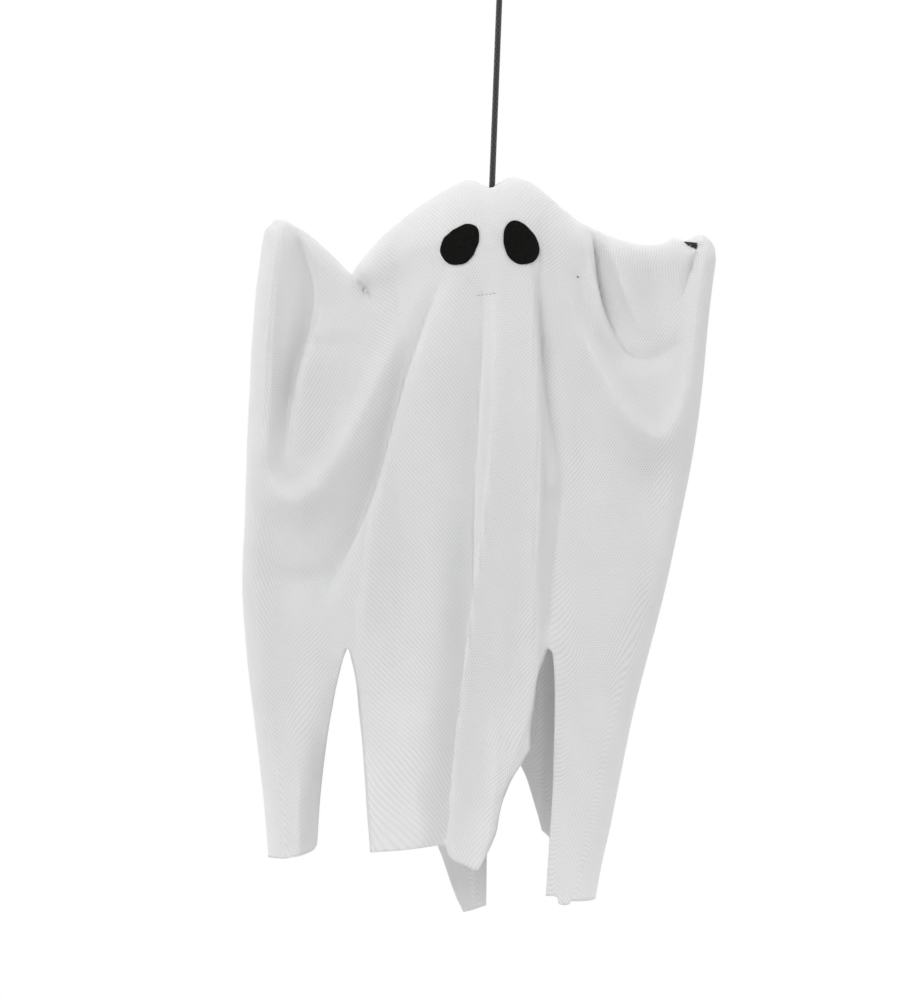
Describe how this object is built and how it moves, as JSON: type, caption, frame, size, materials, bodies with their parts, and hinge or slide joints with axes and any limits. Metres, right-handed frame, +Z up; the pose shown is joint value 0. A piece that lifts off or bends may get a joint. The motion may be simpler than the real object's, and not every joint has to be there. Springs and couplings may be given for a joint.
{
  "type": "hanging ghost decoration",
  "caption": "White mesh sheet draped over a foam head and raised wire arms, with black felt eyes, slit hems and a thin black hanging cord.",
  "frame": {"origin": "inside top of the cord's hanging loop", "axes": "+Z up, -Y towards the viewer of the face, +X to the viewer's right"},
  "size_m": [0.2612, 0.0962, 0.5591],
  "materials": {
    "cloth": "white open-mesh polyester",
    "felt": "black felt",
    "foam": "white expanded foam",
    "steel": "bare galvanised wire",
    "braid": "black braided cord",
    "aluminium": "plain crimp sleeve",
    "plastic": "plain washer"
  },
  "bodies": {
    "root": {"ghost_sheet": "cloth", "eye_left": "felt", "eye_right": "felt", "head_ball": "foam", "arm_wire": "steel", "hang_cord": "braid", "cord_ferrule": "aluminium", "stop_washer": "plastic", "stop_knot": "braid"}
  },
  "joints": []
}
